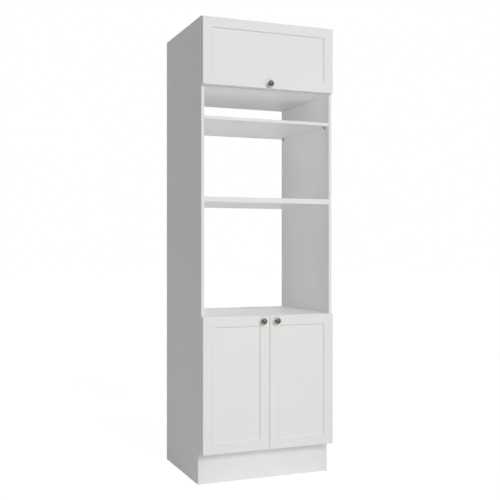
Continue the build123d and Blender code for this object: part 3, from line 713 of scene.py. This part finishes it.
def arc_through(start: Point, middle: Point, end: Point, count: int) -> list[Point]:
    """Points on the arc through three points.

    Args:
        start: first point.
        middle: a point on the way.
        end: last point.
        count: how many points come after the first.

    Returns:
        The points, without the first one.
    """
    (ax, ay), (bx, by), (cx, cy) = start, middle, end
    across = 2.0 * (ax * (by - cy) + bx * (cy - ay) + cx * (ay - by))
    squares = (ax * ax + ay * ay, bx * bx + by * by, cx * cx + cy * cy)
    ox = (squares[0] * (by - cy) + squares[1] * (cy - ay) + squares[2] * (ay - by)) / across
    oy = (squares[0] * (cx - bx) + squares[1] * (ax - cx) + squares[2] * (bx - ax)) / across
    radius = math.hypot(ax - ox, ay - oy)
    first, between, last = (math.atan2(y - oy, x - ox) for x, y in (start, middle, end))
    sweep = (last - first) % (2.0 * math.pi)
    if (between - first) % (2.0 * math.pi) > sweep:
        sweep -= 2.0 * math.pi
    angles = [first + sweep * step / count for step in range(1, count + 1)]
    return [(ox + radius * math.cos(angle), oy + radius * math.sin(angle)) for angle in angles]


@dataclass(frozen=True)
class Spot:
    """Where a small part sits: the middle of its seat or head, and the way that this looks."""

    seat: Vector
    out: Vector
    length: float

    def matrix(self, twist: float) -> Matrix:
        """Places a model that stands at the origin, turned about its own axis."""
        turn = self.out.to_track_quat("Z", "Y").to_matrix().to_4x4()
        return Matrix.Translation(self.seat) @ turn @ Matrix.Rotation(twist, 4, "Z")


def solids_of(node: str) -> list[list[Vector]]:
    """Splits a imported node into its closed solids.

    Args:
        node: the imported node.

    Returns:
        The corner points of each solid.
    """
    mesh = frame["nodes"][node].data
    keys = [tuple(round(value, CORNER_DIGITS) for value in vertex.co) for vertex in mesh.vertices]
    leader = {key: key for key in keys}

    def lead(key: tuple[float, ...]) -> tuple[float, ...]:
        """Finds the corner that stands for a corner's solid.

        Args:
            key: the corner.

        Returns:
            The one that stands for it.
        """
        while leader[key] != key:
            leader[key] = leader[leader[key]]
            key = leader[key]
        return key

    for face in mesh.polygons:
        first, *others = (keys[index] for index in face.vertices)
        for other in others:
            leader[lead(other)] = lead(first)
    solids: dict[tuple[float, ...], list[Vector]] = {}
    for key in leader:
        solids.setdefault(lead(key), []).append(Vector(key))
    return list(solids.values())


def corners_of(points: Iterable[Vector]) -> tuple[Vector, Vector]:
    """Lowest and highest corner of some points."""
    columns = list(zip(*points))
    return Vector([min(column) for column in columns]), Vector([max(column) for column in columns])


def head_spot(points: list[Vector]) -> Spot:
    """Finds a fastener's head, the end of its long axis that spreads widest.

    Args:
        points: the fastener's corner points.

    Returns:
        The middle of the head's face, looking away from the shank.
    """
    low, high = corners_of(points)
    size = high - low
    axis = max(range(3), key=lambda index: size[index])
    spreads = []
    for end in (low[axis], high[axis]):
        ends = corners_of(point for point in points if abs(point[axis] - end) < END_DEPTH)
        spreads.append((ends[1] - ends[0]).length)
    side = 1 if spreads[1] > spreads[0] else -1
    seat, out = (low + high) / 2.0, Vector()
    seat[axis] = high[axis] if side > 0 else low[axis]
    out[axis] = side
    return Spot(seat, out, size[axis])


def joined(pieces: Sequence[bpy.types.Object], name: str) -> bpy.types.Object:
    """Joins pieces into one whose object stands at the origin, unturned.

    Args:
        pieces: what is joined.
        name: the joined piece's name.

    Returns:
        The joined piece.
    """
    only(pieces[0])
    for piece in pieces[1:]:
        piece.select_set(True)
    bpy.context.view_layer.update()
    if len(pieces) > 1:
        bpy.ops.object.join()
    bpy.ops.object.transform_apply(location=True, rotation=True, scale=True)
    pieces[0].name = name
    return pieces[0]


def stamped(model: bpy.types.Object, spots: Sequence[Spot], name: str) -> bpy.types.Object:
    """Copies a model to every spot, each copy turned a little further, and joins the copies.

    Args:
        model: what is copied and then removed.
        spots: the places.
        name: the new piece's name.

    Returns:
        The piece that holds all the copies.
    """
    copies = []
    for index, spot in enumerate(spots):
        copy = bpy.data.objects.new(name, model.data.copy())
        bpy.context.scene.collection.objects.link(copy)
        copy.matrix_world = spot.matrix(math.radians(COPY_TWIST) * index)
        copies.append(copy)
    bpy.data.objects.remove(model)
    return joined(copies, name)


@dataclass(frozen=True)
class Board:
    """A carcass board with its banded front edges eased."""

    node: str
    ease: float = 0.0006
    shortest: float = 0.05
    segments: int = 2
    crease: float = 12.0

    def build(self, finishes: CabinetFinishes) -> bpy.types.Object:
        """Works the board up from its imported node.

        Args:
            finishes: where its finish comes from.

        Returns:
            The finished board.
        """
        piece = reworked(self.node, f"{self.node}_banded")
        faces = [face for face in piece.data.polygons if face.normal.y < FRONT_NORMAL_Y]
        fronts = {round(face.center.y, LEVEL_DIGITS) for face in faces}

        def eased(start: Vector, end: Vector) -> bool:
            """Passes the long edges of the faces that look to the front.

            Args:
                start: the edge's one end.
                end: its other end.

            Returns:
                Whether the edge is eased.
            """
            level = round(start.y, LEVEL_DIGITS)
            in_front = level == round(end.y, LEVEL_DIGITS) and level in fronts
            return in_front and (end - start).length > self.shortest

        if edit_edges(piece, eased):
            bpy.ops.mesh.bevel(offset=self.ease, segments=self.segments, affect="EDGES")
        leave_edit()
        shade(piece, self.crease)
        return finishes.adopt(piece, Slot.CARCASS, self.node)


@dataclass(frozen=True)
class Hardware:
    """Pressed, cast or drawn hardware with its edges rounded."""

    node: str
    slot: Slot
    round: float
    segments: int = 2
    crease: float = 35.0

    def build(self, finishes: CabinetFinishes) -> bpy.types.Object:
        """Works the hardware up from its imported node.

        Args:
            finishes: where its finish comes from.

        Returns:
            The finished hardware.
        """
        piece = reworked(self.node, f"{self.node}_rounded")
        finish_with(
            piece,
            "BEVEL",
            width=self.round,
            segments=self.segments,
            limit_method="ANGLE",
            angle_limit=math.radians(self.crease),
            use_clamp_overlap=True,
        )
        shade(piece, self.crease)
        return finishes.adopt(piece, self.slot, self.node)


@dataclass(frozen=True)
class Knob:
    """Turned brass knob: a beaded foot, a waisted neck and a domed head with a ringed rim."""

    node: str
    radius: float = 0.0145
    projection: float = 0.024
    foot_radius: float = 0.009
    foot_height: float = 0.002
    foot_ease: float = 0.0004
    foot_ledge: float = 0.0012
    neck_radius: float = 0.0055
    dome_height: float = 0.005
    rim_round: float = 0.003
    ring_radius: float = 0.0122
    ring_width: float = 0.0003
    ring_depth: float = 0.0003
    neck_steps: int = 18
    rim_steps: int = 8
    dome_steps: int = 44
    steps: int = 96
    crease: float = 40.0

    def profile(self) -> list[Point]:
        """Draws the outline from the middle of the foot to the top of the dome.

        Returns:
            Radius and height of each point.
        """
        rim = self.projection - self.dome_height
        head_back = rim - self.rim_round
        inner = self.radius - self.rim_round
        foot, ease = self.foot_radius, self.foot_ease
        points = [(0.0, 0.0), (foot - ease, 0.0), (foot, ease), (foot, self.foot_height - ease)]
        points += [(foot - ease, self.foot_height), (foot - self.foot_ledge, self.foot_height)]
        neck = (self.neck_radius, (self.foot_height + head_back) / 2.0)
        points += arc_through(points[-1], neck, (inner, head_back), self.neck_steps)
        bend = self.rim_round * math.sqrt(0.5)
        outer = (inner + bend, rim - bend)
        points += arc_through(points[-1], outer, (self.radius, rim), self.rim_steps)
        dome = (self.radius**2 + self.dome_height**2) / (2.0 * self.dome_height)
        half = math.asin(self.radius / dome) / 2.0
        crown = (dome * math.sin(half), self.projection - dome * (1.0 - math.cos(half)))
        top = (0.0, self.projection)
        for reach, height in arc_through(points[-1], crown, top, self.dome_steps)[:-1]:
            ring = math.exp(-(((reach - self.ring_radius) / self.ring_width) ** 2))
            points.append((reach, height - self.ring_depth * ring))
        return [*points, top]

    def build(self, finishes: CabinetFinishes) -> bpy.types.Object:
        """Turns the knob and sets it on its door.

        Args:
            finishes: where its finish comes from.

        Returns:
            The finished knob.
        """
        low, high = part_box(self.node)
        seat = Vector(((low.x + high.x) / 2.0, high.y, (low.z + high.z) / 2.0))
        spot = Spot(seat, Vector((0.0, -1.0, 0.0)), self.projection)
        model = turned(f"{self.node}_blank", self.profile(), self.steps)
        piece = stamped(model, [spot], f"{self.node}_turned")
        shade(piece, self.crease)
        return finishes.adopt(piece, Slot.BRASS, self.node)


@dataclass(frozen=True)
class Screw:
    """Cross-recessed screws of one kind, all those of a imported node.

    The head's curve is in shares of its radius and height, the thread's rise and crest in shares of
    the pitch, and the recess in shares of the head's radius and height.
    """

    node: str
    head_radius: float
    head_height: float
    shank_radius: float
    flush: bool = False
    pitch: float = 0.0011
    thread_depth: float = 0.0004
    tip: float = 0.0022
    flush_rim: float = 0.1
    head_curve: tuple[Point, ...] = ((0.4, 0.04), (0.7, 0.16), (0.9, 0.4), (1.0, 0.7))
    thread_rise: float = 0.3
    thread_crest: float = 0.65
    recess_reach: float = 1.24
    recess_width: float = 0.26
    recess_depth: float = 1.44
    recess_taper: float = 0.7
    steps: int = 28
    crease: float = 35.0

    def profile(self, length: float) -> list[Point]:
        """Draws the outline from the middle of the head down to the tip.

        Args:
            length: the whole screw's length.

        Returns:
            Radius and height of each point.
        """
        radius, height = self.head_radius, self.head_height
        core = self.shank_radius - self.thread_depth
        points = [(0.0, 0.0)]
        if self.flush:
            rim = self.flush_rim * radius
            points += [(radius - rim, 0.0), (radius, -rim / 2.0), (core, -height)]
        else:
            points += [(share * radius, -drop * height) for share, drop in self.head_curve]
            points += [(radius, -height), (core, -height)]
        for turn in range(int((length - self.tip - height) / self.pitch)):
            top = -height - turn * self.pitch
            points.append((core, top - self.thread_rise * self.pitch))
            points.append((self.shank_radius, top - self.thread_crest * self.pitch))
            points.append((core, top - self.pitch))
        return [*points, (core, self.tip - length), (0.0, -length)]

    def sink_recess(self, piece: bpy.types.Object) -> None:
        """Sinks the driver's cross into the head.

        Args:
            piece: the screw.
        """
        reach = self.recess_reach * self.head_radius
        width = self.recess_width * self.head_radius
        depth = self.recess_depth * self.head_height
        for size in ((reach, width, depth), (width, reach, depth)):
            deselect_all()
            bpy.ops.mesh.primitive_cube_add(size=1.0, scale=size)
            cutter = bpy.context.active_object
            bpy.ops.object.transform_apply(location=False, rotation=False, scale=True)
            edit_faces(cutter, lambda normal: normal.z < DOWN_NORMAL_Z)
            bpy.ops.transform.resize(value=(self.recess_taper, self.recess_taper, 1.0))
            leave_edit()
            finish_with(piece, "BOOLEAN", operation="DIFFERENCE", object=cutter, solver="EXACT")
            bpy.data.objects.remove(cutter)

    def build(self, finishes: CabinetFinishes) -> bpy.types.Object:
        """Makes one screw and puts a copy in every place.

        Args:
            finishes: where its finish comes from.

        Returns:
            The piece that holds all the screws.
        """
        spots = [head_spot(points) for points in solids_of(self.node)]
        model = turned(f"{self.node}_blank", self.profile(spots[0].length), self.steps)
        self.sink_recess(model)
        piece = stamped(model, spots, f"{self.node}_threaded")
        shade(piece, self.crease)
        return finishes.adopt(piece, Slot.STEEL, self.node)


@dataclass(frozen=True)
class Bumpers:
    """Clear domes stuck to the back of a door."""

    node: str
    radius: float = 0.004
    thickness: float = 0.0009
    wall: float = 0.0002
    dome_steps: int = 10
    steps: int = 40
    crease: float = 35.0

    def profile(self) -> list[Point]:
        """Draws the outline from the glued face to the top of the dome.

        Returns:
            Radius and height of each point.
        """
        ease = self.wall / 2.0
        points = [(0.0, 0.0), (self.radius - ease, 0.0), (self.radius, ease)]
        points.append((self.radius, self.wall))
        rise = self.thickness - self.wall
        for step in range(1, self.dome_steps):
            angle = math.radians(90.0 * step / self.dome_steps)
            points.append((self.radius * math.cos(angle), self.wall + rise * math.sin(angle)))
        return [*points, (0.0, self.thickness)]

    def build(self, finishes: CabinetFinishes) -> bpy.types.Object:
        """Makes one bumper and puts a copy in every place.

        Args:
            finishes: where its finish comes from.

        Returns:
            The piece that holds the door's bumpers.
        """
        spots = []
        for points in solids_of(self.node):
            low, high = corners_of(points)
            seat = Vector(((low.x + high.x) / 2.0, low.y, (low.z + high.z) / 2.0))
            spots.append(Spot(seat, Vector((0.0, 1.0, 0.0)), self.thickness))
        model = turned(f"{self.node}_blank", self.profile(), self.steps)
        piece = stamped(model, spots, f"{self.node}_domed")
        shade(piece, self.crease)
        return finishes.adopt(piece, Slot.BUMPER, self.node)


@dataclass(frozen=True)
class Softbox:
    """A soft rectangular lamp that the camera doesn't see.

    It is tilted about X and then turned about Z, in degrees.
    """

    name: str
    place: tuple[float, float, float]
    width: float
    height: float
    watts: float
    tilt: float
    turn: float = 0.0

    def hang(self) -> None:
        """Hangs the lamp at its place."""
        lamp = bpy.data.lights.new(self.name, "AREA")
        lamp.shape = "RECTANGLE"
        lamp.size, lamp.size_y = self.width, self.height
        lamp.energy = self.watts
        box = bpy.data.objects.new(self.name, lamp)
        bpy.context.scene.collection.objects.link(box)
        box.location = self.place
        box.rotation_euler = (math.radians(self.tilt), 0.0, math.radians(self.turn))
        box.visible_camera = False


@dataclass(frozen=True)
class DistantLamp:
    """A lamp so far off that its rays run side by side.

    Its bearing is to the right of the front, and it and the elevation and softness are in degrees.
    """

    name: str
    strength: float
    bearing: float
    elevation: float
    softness: float
    shadow: bool = True

    def hang(self) -> None:
        """Points the lamp at the cabinet."""
        bearing, rise = math.radians(self.bearing), math.radians(self.elevation)
        level = math.cos(rise)
        away = (math.sin(bearing) * level, -math.cos(bearing) * level, math.sin(rise))
        lamp = bpy.data.lights.new(self.name, "SUN")
        lamp.energy = self.strength
        lamp.angle = math.radians(self.softness)
        lamp.use_shadow = self.shadow
        lit = bpy.data.objects.new(self.name, lamp)
        bpy.context.scene.collection.objects.link(lit)
        lit.rotation_euler = Vector(away).to_track_quat("Z", "Y").to_euler()


class StudioTree:
    """Node tree of the floor or the world."""

    def __init__(self, tree: bpy.types.NodeTree) -> None:
        """Takes the tree.

        Args:
            tree: the tree of the floor's material or of the world.
        """
        self.nodes = tree.nodes
        self.links = tree.links

    def seen_rays(self) -> bpy.types.NodeSocket:
        """Finds the rays that show the floor or the world: camera, glossy and transmission.

        Returns:
            1 for those rays and 0 for others.
        """
        path = self.nodes.new("ShaderNodeLightPath")
        total = path.outputs["Is Camera Ray"]
        for name in ("Is Glossy Ray", "Is Transmission Ray"):
            highest = self.nodes.new("ShaderNodeMath")
            highest.operation = "MAXIMUM"
            self.links.new(total, highest.inputs[0])
            self.links.new(path.outputs[name], highest.inputs[1])
            total = highest.outputs["Value"]
        return total

    def between(self, low: float, high: float) -> bpy.types.NodeSocket:
        """Picks a level by the ray.

        Args:
            low: the level for rays that only carry light.
            high: the level for rays that show what they meet.

        Returns:
            The level.
        """
        level = self.nodes.new("ShaderNodeMapRange")
        level.inputs["To Min"].default_value = low
        level.inputs["To Max"].default_value = high
        self.links.new(self.seen_rays(), level.inputs["Value"])
        return level.outputs["Result"]

    def matt_and_glow(
        self, grey: float, glow: float | bpy.types.NodeSocket
    ) -> bpy.types.NodeSocket:
        """Adds a glow to a matt surface.

        Args:
            grey: how much light the surface returns.
            glow: the glow's strength.

        Returns:
            The shader.
        """
        matt = self.nodes.new("ShaderNodeBsdfDiffuse")
        matt.inputs["Color"].default_value = (grey, grey, grey, 1.0)
        light = self.nodes.new("ShaderNodeEmission")
        if isinstance(glow, float):
            light.inputs["Strength"].default_value = glow
        else:
            self.links.new(glow, light.inputs["Strength"])
        both = self.nodes.new("ShaderNodeAddShader")
        self.links.new(matt.outputs["BSDF"], both.inputs[0])
        self.links.new(light.outputs["Emission"], both.inputs[1])
        return both.outputs["Shader"]


@dataclass(frozen=True)
class Studio:
    """White floor, world, lamps and camera at the photograph's angle."""

    ambient: float = 0.174
    light_bounces: int = 12
    floor_albedo: float = 0.8
    floor_glow: float = 0.8
    floor_white: float = 0.96
    floor_shadow: float = 0.12
    floor_span: float = 60.0
    distant: tuple[DistantLamp, ...] = (
        DistantLamp("key", 0.645, bearing=30.0, elevation=20.0, softness=15.0),
        DistantLamp("high_key", 0.585, bearing=4.0, elevation=32.0, softness=12.0),
        DistantLamp("top_fill", 0.206, bearing=0.0, elevation=90.0, softness=10.0, shadow=False),
        DistantLamp("left_fill", 0.182, bearing=-90.0, elevation=0.0, softness=10.0, shadow=False),
    )
    softboxes: tuple[Softbox, ...] = (
        Softbox("floor_softbox", (-0.2, -2.6, 0.02), 3.0, 1.5, watts=6.2, tilt=180.0),
        Softbox("low_softbox", (-0.1, -2.2, 0.25), 1.6, 0.4, watts=4.4, tilt=112.0),
        Softbox("high_softbox", (0.5, -2.5, 3.2), 1.5, 1.0, watts=9.5, tilt=50.0, turn=10.0),
        Softbox("niche_softbox", (0.0, -1.3, 1.45), 0.6, 0.3, watts=0.53, tilt=100.0),
        Softbox("back_softbox", (0.0, 1.0, 1.38), 0.66, 1.1, watts=0.3, tilt=-90.0),
        Softbox("back_right_softbox", (1.2, 1.4, 1.4), 1.0, 2.0, watts=1.35, tilt=90.0, turn=140.0),
    )
    camera_place: tuple[float, float, float] = (-1.6407, -4.1058, 1.1525)
    camera_bearing: float = 21.92
    lens: float = 60.58
    sensor_width: float = 36.0
    shift: float = -0.005

    def build(self) -> None:
        """Sets the whole studio."""
        bpy.context.scene.view_settings.view_transform = "Standard"
        bpy.context.scene.cycles.diffuse_bounces = self.light_bounces
        self.lay_floor()
        self.light_world()
        for lamp in (*self.distant, *self.softboxes):
            lamp.hang()
        self.place_camera()

    def floor_material(self) -> bpy.types.Material:
        """Makes the floor return light to the cabinet and show white under a faint shadow.

        Returns:
            The floor's material.
        """
        material = bpy.data.materials.new("pale_floor")
        material.use_nodes = True
        material.node_tree.nodes.clear()
        tree = StudioTree(material.node_tree)
        bounce = tree.matt_and_glow(self.floor_albedo, tree.between(0.0, self.floor_glow))
        shown = tree.matt_and_glow(self.floor_shadow, self.floor_white)
        path = tree.nodes.new("ShaderNodeLightPath")
        seen = tree.nodes.new("ShaderNodeMixShader")
        tree.links.new(path.outputs["Is Camera Ray"], seen.inputs[0])
        tree.links.new(bounce, seen.inputs[1])
        tree.links.new(shown, seen.inputs[2])
        output = tree.nodes.new("ShaderNodeOutputMaterial")
        tree.links.new(seen.outputs["Shader"], output.inputs["Surface"])
        return material

    def lay_floor(self) -> None:
        """Lays a pale floor under the cabinet."""
        deselect_all()
        bpy.ops.mesh.primitive_plane_add(size=self.floor_span, location=(0.0, 0.0, 0.0))
        floor = bpy.context.active_object
        floor.name = "studio_floor"
        floor.data.materials.append(self.floor_material())

    def light_world(self) -> None:
        """Makes a world that lights evenly and shows white."""
        world = bpy.data.worlds.new("white_studio")
        bpy.context.scene.world = world
        world.use_nodes = True
        background = world.node_tree.nodes["Background"]
        background.inputs["Color"].default_value = (1.0, 1.0, 1.0, 1.0)
        tree = StudioTree(world.node_tree)
        tree.links.new(tree.between(self.ambient, 1.0), background.inputs["Strength"])

    def place_camera(self) -> None:
        """Sets a level camera at the photograph's place."""
        lens = bpy.data.cameras.new("camera")
        lens.lens = self.lens
        lens.sensor_width = self.sensor_width
        lens.shift_y = self.shift
        camera = bpy.data.objects.new("camera", lens)
        bpy.context.scene.collection.objects.link(camera)
        camera.location = self.camera_place
        camera.rotation_euler = (math.radians(90.0), 0.0, math.radians(-self.camera_bearing))
        bpy.context.scene.camera = camera


SIDES = ("left", "right")
DOORS = (*SIDES, "flap")
BOARDS = (
    Board("side_panel_left"),
    Board("side_panel_right"),
    Board("base_bottom"),
    Board("base_inner_shelf"),
    Board("oven_niche_floor"),
    Board("oven_shelf"),
    Board("upper_shelf"),
    Board("flap_compartment_floor"),
    Board("top_panel"),
    Board("plinth_board"),
    Board("rear_plinth_rail"),
)
DOOR_FITTINGS = (
    Knob("left_knob"),
    Bumpers("left_bumpers"),
    Knob("right_knob"),
    Bumpers("right_bumpers"),
    Knob("flap_knob"),
    Bumpers("flap_bumpers"),
)
# Head radius, head height and shank radius follow each node.
SCREWS = (
    Screw("back_panel_screws", 0.0032, 0.0012, 0.0015, flush=True),
    *(Screw(f"{door}_hinge_cup_screws", 0.0034, 0.001, 0.00175) for door in DOORS),
    *(Screw(f"{door}_knob_screw", 0.004, 0.0022, 0.002, pitch=0.0007) for door in DOORS),
    Screw("hinge_arm_screws", 0.0036, 0.0018, 0.002, pitch=0.0008, tip=0.0006),
    Screw("hinge_plate_screws", 0.0036, 0.0016, 0.0025, pitch=0.0018, thread_depth=0.0006),
    *(Screw(f"strut_{place}_screws", 0.0036, 0.0016, 0.002) for place in ("wall", "flap")),
)
# The radius of the rounded edges follows each node and slot.
HARDWARE = (
    *(Hardware(f"{door}_hinge_cups", Slot.STEEL, 0.0002) for door in DOORS),
    *(Hardware(f"{door}_hinge_arms", Slot.STEEL, 0.0002) for door in DOORS),
    *(Hardware(f"{door}_hinge_links", Slot.STEEL, 0.0002) for door in DOORS),
    Hardware("hinge_mounting_plates", Slot.STEEL, 0.0003),
    Hardware("strut_wall_brackets", Slot.STEEL, 0.0003),
    Hardware("strut_flap_brackets", Slot.STEEL, 0.0003),
    *(Hardware(f"strut_cylinder_{side}", Slot.ENAMEL, 0.0004) for side in SIDES),
    *(Hardware(f"strut_rod_{side}", Slot.ROD, 0.0003) for side in SIDES),
    Hardware("upper_shelf_supports", Slot.ZINC, 0.0003),
    Hardware("inner_shelf_supports", Slot.ZINC, 0.0003),
    Hardware("cam_housings", Slot.ZINC, 0.0002),
)


def main() -> None:
    """Builds the cabinet's looks and its studio."""
    logging.basicConfig(level=logging.INFO, format="%(name)s: %(message)s")
    Studio().build()
    LOG.info("studio set")
    finishes = CabinetFinishes()
    for part in frame["record"]["subparts"]:
        piece = finishes.dress(part["node"], Slot(part["material_slot"]))
        LOG.info("dressed %s in %s", piece.name, part["material_slot"])
    for maker in (*BOARDS, *DOOR_FITTINGS, *SCREWS, *HARDWARE):
        piece = maker.build(finishes)
        LOG.info("built %s, %d faces", piece.name, len(piece.data.polygons))


if __name__ == "__main__":
    main()
